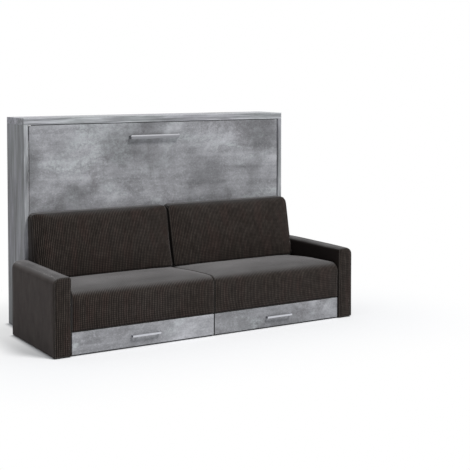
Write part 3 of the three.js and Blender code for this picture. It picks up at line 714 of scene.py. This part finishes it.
def add_pressure(obj, held, pressure, bending):
    group = obj.vertex_groups.new(name="held")
    group.add(held, 1.0, "REPLACE")
    cloth = obj.modifiers.new("cloth", "CLOTH")
    settings = dict(CLOTH, bending_stiffness=bending, uniform_pressure_force=pressure)
    for key, value in settings.items():
        setattr(cloth.settings, key, value)
    cloth.settings.effector_weights.gravity = 0
    cloth.collision_settings.use_collision = False


def evened(mesh, shift, held):
    """The same shift with its small wrinkles taken out, and none at the held points."""
    edges = np.empty(len(mesh.edges) * 2, np.int32)
    mesh.edges.foreach_get("vertices", edges)
    first, second = edges.reshape(-1, 2).T
    count = np.bincount(edges, minlength=len(shift))[:, None]
    for _ in range(EVENING_ROUNDS):
        total = np.zeros_like(shift)
        np.add.at(total, first, shift[second])
        np.add.at(total, second, shift[first])
        shift = 0.5 * shift + 0.5 * total / count
        shift[held] = 0
    return shift


def swell(pieces):
    """Blows every soft piece up under pressure at once, and keeps the capped result."""
    scene = bpy.context.scene
    for piece in pieces:
        add_pressure(piece["obj"], piece["held"], piece["pressure"], piece["bending"])
    for step in range(1, SIMULATED_FRAMES + 1):
        scene.frame_set(step)
    graph = bpy.context.evaluated_depsgraph_get()
    for piece in pieces:
        obj = piece["obj"]
        start = per_vertex(obj.data)
        evaluated = obj.evaluated_get(graph)
        swollen = per_vertex(evaluated.to_mesh())
        evaluated.to_mesh_clear()
        shift, cap = swollen - start, piece["cap"]
        length = np.linalg.norm(shift, axis=1, keepdims=True)
        shift = evened(obj.data, unit(shift) * cap * np.tanh(length / cap), piece["held"])
        shift[:, 2] = np.maximum(shift[:, 2], LOWEST_SHIFT)
        piece["points"] = start + shift
    scene.frame_set(1)
    for piece in pieces:
        piece["obj"].modifiers.clear()
        write_points(piece["obj"].data, piece["points"])


def soft_piece(name, spans, counts, form, mould, limit, **physics):
    """A cushion's starting shape, with a seam round both of its end panels."""
    spans = np.array(spans)
    half = (spans[:, 1] - spans[:, 0]) / 2
    shares, quads, index = box_grid(counts)
    points, share = panelled(shares, counts, half, **form)
    points = mould(points, share) + spans.mean(axis=1)
    obj = mesh_object(name, limit(points), quads, FABRICS[name.rsplit("_", 2)[0]])
    axis = form["axis"]
    rings = [ring_of(index, counts, axis, end) for end in (0, counts[axis])]
    under = np.nonzero(shares[:, 2] < -0.999)[0]
    held = sorted(set(under.tolist()) | {i for ring in rings for i in ring})
    return {"obj": obj, "rings": rings, "held": held, "limit": limit, **physics}


SEAM_WIDTH = 0.006
SEAM_DRAW = 0.0020
PUCKER_REACH = 0.035
DENT_SCALE = (4.2, 4.2, 4.2)
BLOCK = 2000


def finish_soft(piece, seed):
    """Draws the seams in, puckers the cloth beside them, and keeps the piece in its own space."""
    obj = piece["obj"]
    mesh = obj.data
    points, normals = per_vertex(mesh), per_vertex(mesh, "normal")
    seam_points = points[[i for ring in piece["rings"] for i in ring]]
    blocks = [points[start:start + BLOCK] for start in range(0, len(points), BLOCK)]
    gap = np.concatenate([np.linalg.norm(block[:, None] - seam_points, axis=2).min(axis=1)
                          for block in blocks])
    near = np.exp(-(gap / SEAM_WIDTH) ** 2)
    beside = np.exp(-gap / PUCKER_REACH) * (1 - near)
    pucker = noise_at(points, piece["pucker_scale"], seed)
    dent = noise_at(points, DENT_SCALE, seed + 11)
    soft_shift = piece["pucker"] * beside * pucker + piece["unevenness"] * dent * (1 - near)
    points = points + normals * (soft_shift - SEAM_DRAW * near)[:, None]
    write_points(mesh, piece["limit"](points))
    subdivide(obj)


def ring_quads(rings, sides, start=0, closed=False):
    """The quads that join each ring of points to the next."""
    quads = []
    for ring in range(rings if closed else rings - 1):
        near, far = start + ring * sides, start + (ring + 1) % rings * sides
        quads += [(near + k, near + (k + 1) % sides, far + (k + 1) % sides, far + k)
                  for k in range(sides)]
    return quads


def ring_caps(rings, sides, start=0):
    """The faces that close the first and the last ring."""
    last = start + (rings - 1) * sides
    return [tuple(start + k for k in range(sides))[::-1], tuple(last + k for k in range(sides))]


def around(first, second, turn):
    return math.cos(turn) * first + math.sin(turn) * second


def tube(name, line, radius, sides, material):
    """A round cord along a closed line of points."""
    ahead = unit(np.roll(line, -1, axis=0) - np.roll(line, 1, axis=0))
    first = np.cross(ahead[0], (0.3, 0.5, 0.8))
    points = []
    for direction, centre in zip(ahead, line):
        first = unit(first - direction * np.dot(first, direction))
        second = np.cross(direction, first)
        points += [centre + radius * around(first, second, TWO_PI * k / sides)
                   for k in range(sides)]
    return mesh_object(name, points, ring_quads(len(line), sides, closed=True), material)


def section_of(width, depth, edge):
    """A rectangle with rounded corners, as offsets from its middle."""
    corners = []
    for number, (across, along) in enumerate(((1, 1), (-1, 1), (-1, -1), (1, -1))):
        for step in range(4):
            turn = math.pi / 2 * (number + step / 3)
            corners.append((across * (width / 2 - edge) + edge * math.cos(turn),
                            along * (depth / 2 - edge) + edge * math.sin(turn)))
    return corners


def swept(name, line, side, section, material):
    """A bar or band of one section, whose width always lies along side."""
    line, side = np.asarray(line), np.asarray(side)
    points, shape = [], (len(line), len(section))
    for centre, direction in zip(line, unit(np.gradient(line, axis=0))):
        out = np.cross(side, direction)
        points += [centre + side * across + out * along for across, along in section]
    obj = mesh_object(name, points, ring_quads(*shape) + ring_caps(*shape), material)
    crease(obj, 40)
    return obj


def bent(corners, radius, steps=5):
    """A line through corners, each of them turned on an arc."""
    corners = [np.array(corner, float) for corner in corners]
    line = [corners[0]]
    for before, corner, after in zip(corners, corners[1:], corners[2:]):
        back, on = unit(before - corner), unit(after - corner)
        centre = corner + radius * (back + on)
        for step in range(steps + 1):
            turn = math.pi / 2 * step / steps
            line.append(centre - radius * (on * math.cos(turn) + back * math.sin(turn)))
    return line + [corners[-1]]


def eased(line):
    """A closed line, smoothed a little, so that the cord lies without kinks."""
    for _ in range(2):
        line = 0.5 * line + 0.25 * (np.roll(line, 1, axis=0) + np.roll(line, -1, axis=0))
    return line


WELT_RADIUS = 0.0023
WELT_PROUD = 0.0012


def add_welts(piece):
    mesh, body = piece["obj"].data, piece["body"]
    points, normals = per_vertex(mesh), per_vertex(mesh, "normal")
    for number, ring in enumerate(piece["rings"]):
        line = eased(points[ring] + normals[ring] * WELT_PROUD)
        welt = tube(f"{piece['obj'].name}_welt_{number + 1}", line, WELT_RADIUS, 8, WELT)
        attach(welt, body)


def box_of(name):
    low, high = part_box(name)
    return np.array(low), np.array(high)


def corner_radii(front_top, rear_top, front_low, rear_low):
    return {(-1, 1): front_top, (1, 1): rear_top, (-1, -1): front_low, (1, -1): rear_low}


def droop(points, past_start, radius, upper):
    """Rounds a top edge: points beyond its start sink along a quarter circle."""
    past = np.clip(past_start / radius, 0, 1)
    points[:, 2] -= radius * (1 - np.sqrt(1 - past ** 2)) * upper
    return points


def middle_half(span):
    return (span[0] + span[1]) / 2, (span[1] - span[0]) / 2


ARM_REAR_ROUND = 0.019
ARM_CORNERS = {"outer": 0.048, "inner": 0.021, "low": 0.005}


def arm_piece(side, sign):
    low, high = box_of(f"sofa_arm_{side}")
    inner, outer = (0.002, 0.0) if sign > 0 else (0.0, -0.002)
    spans = [[low[0] + inner, high[0] + outer], [low[1] + 0.001, high[1] - 0.001],
             [low[2], high[2] - 0.004]]
    rear_start = middle_half(spans[1])[1] - ARM_REAR_ROUND

    def mould(points, share):
        points = crown_and_pull(points, share, (0.0, 0.002, 0.003), (0.001, 0.001, 0.001))
        upper = np.clip((share[:, 2] + 1) / 2, 0, 1) ** 2
        return droop(points, points[:, 1] - rear_start, ARM_REAR_ROUND, upper)

    def limit(points):
        return np.clip(points, low - [0.001, 0.003, 0], high + [0.001, 0, 0.003])

    corners = {(sign, 1): ARM_CORNERS["outer"], (-sign, 1): ARM_CORNERS["inner"],
               (sign, -1): ARM_CORNERS["low"], (-sign, -1): ARM_CORNERS["low"]}
    form = {"axis": 1, "corners": corners, "corner_rows": 4, "rim": 0.015}
    return soft_piece(f"sofa_arm_cover_{side}", spans, (16, 56, 42), form, mould, limit,
                      pressure=1.5, bending=2.0, cap=0.004, pucker_scale=(26, 6, 26),
                      pucker=0.0003, unevenness=0.0004)


CUSHION = {"pressure": 3.0, "bending": 0.8, "pucker_scale": (7, 30, 30)}

SEAT_FRONT = -0.5455
SEAT_TOP = 0.384
SEAT_INNER, SEAT_END = 0.0008, 1.0402
SEAT_WAIST = 0.0212
SEAT_REST = 0.200
SEAT_RISE, SEAT_SWELL = 0.026, 0.024
SEAT_CROWN_START = 0.424
SEAT_CROWN_REACH = 0.0135
UNDER_BACK_DEPTH, UNDER_BACK_END, UNDER_BACK_TOP = 0.012, 1.037, 0.388


def seat_piece(side, sign):
    """A seat cushion: its front rises, its waist leaves the drop leg room, and its crown ends below
    the folded bed."""
    low, high = box_of(f"seat_cushion_{side}")
    ends = sorted((sign * SEAT_INNER, sign * SEAT_END))
    spans = [ends, [SEAT_FRONT, high[1]], [low[2], SEAT_TOP]]
    rest_share = 1 - SEAT_REST / middle_half(spans[1])[1]
    middle_y, reach_y = middle_half((low[1], high[1]))

    def mould(points, share):
        points = crown_and_pull(points, share, (0, 0.003, 0), (0.001, 0.002, 0))
        upper = (share[:, 2] + 1) / 2
        ahead = np.clip((rest_share - share[:, 1]) / (rest_share + 1), 0, 1)
        rise = SEAT_RISE * np.sin(ahead * math.pi / 2)
        swell_up = SEAT_SWELL * (1 - share[:, 0] ** 6) * np.sin(ahead * math.pi)
        points[:, 2] += upper * (rise + swell_up)
        points[:, 1] += np.clip(-share[:, 1], 0, 1) ** 2 * 0.006 * (1 - upper)
        outer = np.clip(sign * share[:, 0], 0, 1) ** 2
        waist = 1 - np.clip(np.abs(share[:, 1]), 0, 1) ** 6
        points[:, 0] -= sign * outer * SEAT_WAIST * waist
        return points

    def limit(points):
        share_y = np.clip((points[:, 1] - middle_y) / reach_y, -1, 1)
        outer = SEAT_END + 0.0005 - SEAT_WAIST * (1 - np.abs(share_y) ** 6)
        points[:, 0] = sign * np.clip(sign * points[:, 0], SEAT_INNER, outer)
        points[:, 1] = np.clip(points[:, 1], low[1] - 0.004, high[1])
        points[:, 2] = np.maximum(points[:, 2], low[2])
        over = np.maximum(points[:, 2] - SEAT_CROWN_START, 0)
        points[:, 2] += SEAT_CROWN_REACH * np.tanh(over / SEAT_CROWN_REACH) - over
        under_back = (points[:, 1] > UNDER_BACK_DEPTH) & (np.abs(points[:, 0]) < UNDER_BACK_END)
        top = np.where(under_back, UNDER_BACK_TOP, np.inf)
        points[:, 2] = np.minimum(points[:, 2], top)
        return points

    form = {"axis": 0, "corners": corner_radii(0.060, 0.022, 0.012, 0.012), "corner_rows": 5,
            "rim": 0.008}
    return soft_piece(f"seat_cushion_cover_{side}", spans, (74, 58, 24), form, mould, limit,
                      cap=0.012, pucker=0.0014, unevenness=0.0012, **CUSHION)


BACK_END = 1.0390
BACK_DEPTH = 0.205
BACK_TOP, BACK_FOOT = 0.100, 0.208
BACK_END_ROUND = 0.036
BACK_HOLLOW = 0.085
BACK_HOLLOWED = {"left": (0.28, 0.55, 0.42), "right": (0.10, 0.12, 0.05)}


def back_piece(side, sign):
    """A back cushion: a wedge, thinner at the top and hollowed towards its ends."""
    low, high = box_of(f"back_cushion_{side}")
    ends = sorted((sign * 0.0025, sign * BACK_END))
    spans = [ends, [high[1] - BACK_DEPTH, high[1]], [low[2], high[2] - 0.002]]
    half_x, half_y = middle_half(ends)[1], middle_half(spans[1])[1]

    def mould(points, share):
        points = crown_and_pull(points, share, (0, 0.009, 0), (0.001, 0.003, 0.001))
        rising = np.clip((share[:, 2] + 1) / 2, 0, 1)
        thin = 1 + (BACK_TOP / BACK_FOOT - 1) * rising
        outer = np.where(sign * share[:, 0] > 0, 1.0, 0.5)
        past = np.clip((np.abs(points[:, 0]) - (half_x - BACK_HOLLOW)) / BACK_HOLLOW, 0, 1)
        most = np.interp(rising, (0, 0.35, 1), BACK_HOLLOWED[side])
        thin *= 1 - outer * most * (1 - np.sqrt(1 - past ** 2))
        points[:, 1] = half_y + (points[:, 1] - half_y) * thin
        past_end = np.abs(points[:, 0]) - (half_x - BACK_END_ROUND)
        return droop(points, past_end, BACK_END_ROUND, rising ** 4)

    def limit(points):
        points[:, 0] = sign * np.clip(sign * points[:, 0], 0.0012, BACK_END + 0.001)
        points[:, 1] = np.minimum(points[:, 1], high[1] + 0.001)
        points[:, 2] = np.clip(points[:, 2], low[2], high[2] + 0.002)
        return points

    form = {"axis": 0, "corners": corner_radii(0.042, 0.030, 0.020, 0.016), "corner_rows": 4,
            "rim": 0.014}
    return soft_piece(f"back_cushion_cover_{side}", spans, (74, 18, 36), form, mould, limit,
                      cap=0.014, pucker=0.0012, unevenness=0.0006, **CUSHION)


PILE_ROUGH = 0.00035
PILE_DEPTH = 0.0022


def dark_gap_strip(name, low, high):
    """A strip of short black pile that closes a gap beside the bed's panel.
    It stands in for the shade in that gap: painted shade.
    """
    low, high = np.array(low), np.array(high)
    long_axis = int(np.argmax(high - low))
    counts = [3, 3, 3]
    counts[long_axis] = 60
    shares, quads, _ = box_grid(counts)
    points = (low + high) / 2 + shares * (high - low) / 2
    ragged = noise_at(points, (160, 160, 160), 3.0)
    points += np.where(np.arange(3) == long_axis, 0, shares * PILE_ROUGH * ragged[:, None])
    strip = mesh_object(name, points, quads, PILE)
    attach(strip, "cabinet_and_sofa")


# Dark pile strips just behind the panel's front stand in for the shade inside the gaps round it:
# painted shade.
def shade_gaps():
    panel = box_of("bed_front_panel")[1]
    cabinet_inner = box_of("cabinet_side_right")[0][0]
    under_top = box_of("cabinet_top")[0][2] - 0.0004
    skirt_top = box_of("front_skirt")[1][2] + 0.002
    near, far = panel[1] - PILE_DEPTH, panel[1] + PILE_DEPTH
    for side, sign in SIDES:
        across = sorted((sign * (panel[0] + 0.0012), sign * (cabinet_inner - 0.0002)))
        dark_gap_strip(f"gap_brush_{side}", (across[0], near, skirt_top), (across[1], far, under_top))
    dark_gap_strip("gap_brush_top", (-panel[0], near, panel[2] + 0.0024), (panel[0], far, under_top))


def upholster():
    pieces = []
    for side, sign in SIDES:
        for make, stem, body, fill in (
                (arm_piece, "sofa_arm", "cabinet_and_sofa", 0.9),
                (seat_piece, "seat_cushion", "cabinet_and_sofa", 0.75),
                (back_piece, "back_cushion", f"back_{side}", 0.7)):
            piece = make(side, sign)
            piece.update(cad=f"{stem}_{side}", body=body, fill=fill)
            pieces.append(piece)
    swell(pieces)
    for number, piece in enumerate(pieces):
        finish_soft(piece, 5.0 * number)
        add_welts(piece)
        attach(piece["obj"], piece["body"])
        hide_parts(piece["cad"])


# Mattress and its straps

QUILT_PITCH = 0.105
QUILT_DEPTH = 0.006
BAND_HOLLOW = 0.003
TAPE_RADIUS = 0.0045


def mattress_piece():
    low, high = box_of("mattress")
    counts = (150, 16, 96)
    shares, quads, index = box_grid(counts)
    points, share = rounded(shares, counts, (high - low) / 2, 0.025, 3)
    points += (low + high) / 2
    away = np.abs(share)
    x, z = points[:, 0], points[:, 2]
    turn = math.pi / QUILT_PITCH / math.sqrt(2)
    line = np.minimum(np.abs(np.sin((x + z) * turn)), np.abs(np.sin((x - z) * turn)))
    quilted = (away[:, 1] > 0.98) & (away[:, 0] < 0.965) & (away[:, 2] < 0.945)
    sunk = np.where(quilted, QUILT_DEPTH * (1 - np.minimum(line / 0.55, 1)) ** 1.5, 0)
    points[:, 1] -= np.sign(share[:, 1]) * sunk
    band = np.exp(-(share[:, 1] / 0.10) ** 2) * (away[:, 1] < 0.9)
    for axis in (0, 2):
        points[:, axis] -= np.sign(share[:, axis]) * BAND_HOLLOW * band * (away[:, axis] > 0.98)
    obj = mesh_object("mattress_cover", points, quads, TICKING)
    subdivide(obj)
    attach(obj, "bed")
    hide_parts("mattress")
    for number, end in enumerate((0, counts[1])):
        line = eased(points[ring_of(index, counts, 1, end)])
        edge = tube(f"mattress_tape_{number + 1}", line, TAPE_RADIUS, 8, TICKING)
        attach(edge, "bed")


BED_HANDLE_SECTION = [(0.0106, 0.0002), (0.0106, 0.0042), (-0.0176, 0.0042), (-0.0180, 0.0038),
                      (-0.0180, 0.0014), (-0.0174, 0.0004), (0.0002, -0.0054),
                      (0.0018, -0.0055), (0.0100, -0.0006)]


def bed_handle_bar():
    low, high = box_of("bed_handle")
    front, middle = low[1] + 0.0005, (low[2] + high[2]) / 2
    left, right = low[0] + 0.005, high[0] - 0.005
    line = bent([(left, high[1], middle), (left, front, middle), (right, front, middle),
                 (right, high[1], middle)], 0.0055)
    bar = swept("bed_handle_bar", line, (0, 0, 1), BED_HANDLE_SECTION, SHADED_BED_HANDLE)
    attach(bar, "bed")
    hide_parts("bed_handle")


STRAP_LIFT = 0.0012
STRAP_BEND = 0.017
BUCKLE_Z = 0.95
TAIL = ((0.0, 0.0), (0.0006, 0.04), (0.0022, 0.08), (0.0010, 0.12), (0.0018, 0.155))
BUCKLE_HALF_X, BUCKLE_HALF_Z, BUCKLE_BAR_HALF = 0.0265, 0.017, 0.0235


def strap_and_buckle(side):
    """Webbing round the mattress, a ladder buckle on it, and the loose tail that hangs from it."""
    low, high = box_of(f"mattress_strap_{side}")
    middle, face = (low[0] + high[0]) / 2, high[1]
    under, over = low[2] - STRAP_LIFT, high[2] + STRAP_LIFT
    line = bent([(middle, depth, height) for depth, height in (
        (low[1], under), (face + STRAP_LIFT, under), (face + STRAP_LIFT, over), (low[1], over))],
        STRAP_BEND, 8)
    strap = swept(f"mattress_webbing_{side}", line, (1, 0, 0), section_of(0.040, 0.0013, 0.0005),
                  WEBBING)
    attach(strap, "bed")
    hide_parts(f"mattress_strap_{side}")
    tail = [(middle, face + STRAP_LIFT * 2.2 + rise, BUCKLE_Z - fall) for rise, fall in TAIL]
    loose = swept(f"strap_tail_{side}", tail, (1, 0, 0), section_of(0.038, 0.0013, 0.0005),
                  WEBBING)
    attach(loose, "bed")
    frame = [(middle + x * BUCKLE_HALF_X, face + 0.0055, BUCKLE_Z + z * BUCKLE_HALF_Z)
             for x, z in ((0, -1), (1, -1), (1, 1), (-1, 1), (-1, -1), (0, -1))]
    bar = [(middle + x * BUCKLE_BAR_HALF, face + 0.0062, BUCKLE_Z) for x in (-1, 1)]
    for name, path in (("frame", bent(frame, 0.004)), ("bar", bar)):
        part = swept(f"buckle_{name}_{side}", path, (0, 1, 0), section_of(0.0045, 0.005, 0.001),
                     PLASTIC)
        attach(part, "bed")


MATTRESS_HANDLE_X = 0.66
HANDLE_LOOP = ((-0.085, 0.0), (-0.062, 0.0006), (-0.045, 0.0050), (-0.015, 0.0085),
               (0.015, 0.0085), (0.045, 0.0050), (0.062, 0.0006), (0.085, 0.0))


def mattress_handle(side, sign):
    low, high = box_of("mattress")
    depth, top = (low[1] + high[1]) / 2 + 0.035, high[2] + 0.001
    line = [(sign * MATTRESS_HANDLE_X + along, depth, top + lift) for along, lift in HANDLE_LOOP]
    loop = swept(f"mattress_handle_{side}", line, (0, 1, 0), section_of(0.026, 0.0016, 0.0006),
                 WEBBING)
    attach(loop, "bed")


SCREW_PROFILE = ((4.4, 0.0), (4.4, 0.7), (4.0, 1.5), (3.0, 2.1), (2.1, 2.2))
SCREW_SIDES = 24
RECESS_FLAT = 1.45
RECESS_DEPTH = 1.5
MM = 0.001


def add_screw(points, faces, centre, facing):
    """A button-head screw with a six-sided recess, added to the lists of one mesh."""
    facing = np.array(facing, float)
    across = np.roll(facing, 1)
    along = np.cross(facing, across)
    turns = [TWO_PI * k / SCREW_SIDES for k in range(SCREW_SIDES)]
    rings = [[(radius, height)] * SCREW_SIDES for radius, height in SCREW_PROFILE]
    hexagon = [RECESS_FLAT / math.cos((turn + math.pi / 6) % (math.pi / 3) - math.pi / 6)
               for turn in turns]
    head = SCREW_PROFILE[-1][1]
    rings += [[(radius, height) for radius in hexagon] for height in (head, head - RECESS_DEPTH)]
    shape = (len(rings), SCREW_SIDES, len(points))
    points += [np.array(centre) + MM * (radius * around(across, along, turn) + height * facing)
               for ring in rings for turn, (radius, height) in zip(turns, ring)]
    faces += ring_quads(*shape) + ring_caps(*shape)


def add_screws(name, body, places):
    points, faces = [], []
    for centre, facing in places:
        add_screw(points, faces, centre, facing)
    screws = mesh_object(name, points, faces, STEEL)
    crease(screws, 35)
    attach(screws, body)


PIVOT_SCREWS, STUD_SCREWS = 0.036, 0.0165
BRACKET_SHARES = (0.28, 0.72)
BED_PLATE_SCREWS = ((0.268, 0.428), (0.2845, 0.492), (0.290, 0.362))
PLATE_THICK, BED_PLATE_THICK = 0.005, 0.0053


def fix_hardware():
    """Screws in the plates and brackets, and in the ends of the bed's frame."""
    on_cabinet, on_bed = [], []
    for side, sign in SIDES:
        pivot, stud = box_of(f"pivot_plate_{side}"), box_of(f"strut_bracket_{side}")
        plate_face = sign * (max(abs(pivot[0][0]), abs(pivot[1][0])) - PLATE_THICK)
        for (low, high), reach in ((pivot, PIVOT_SCREWS), (stud, STUD_SCREWS)):
            depth, height = (low[1] + high[1]) / 2, (low[2] + high[2]) / 2
            on_cabinet += [((plate_face, depth, height + up * reach), (-sign, 0, 0))
                           for up in (-1, 1)]
        low, high = box_of(f"wall_bracket_{side}")
        for share in BRACKET_SHARES:
            place = low[0] + share * (high[0] - low[0])
            on_cabinet += [((place, high[1] - 0.003, low[2] + 0.010), (0, -1, 0)),
                           ((place, low[1] + 0.014, high[2] - 0.003), (0, 0, -1))]
        low, high = box_of(f"frame_end_{side}")
        board_face = sign * max(abs(low[0]), abs(high[0]))
        bed_face = board_face + sign * BED_PLATE_THICK
        on_bed += [((bed_face, depth, height), (sign, 0, 0)) for depth, height in BED_PLATE_SCREWS]
        on_bed += [((board_face, depth, height), (sign, 0, 0))
                   for height in (low[2] + 0.0075, high[2] - 0.0075)
                   for depth in (low[1] + 0.022, high[1] - 0.022)]
    add_screws("cabinet_screws", "cabinet_and_sofa", on_cabinet)
    add_screws("bed_screws", "bed", on_bed)


add_camera()
add_key()
add_world()
add_floor()
dress_cad()
upholster()
mattress_piece()
shade_gaps()
bed_handle_bar()
for side, sign in SIDES:
    strap_and_buckle(side)
    mattress_handle(side, sign)
fix_hardware()

bpy.context.scene.view_settings.view_transform = "Standard"
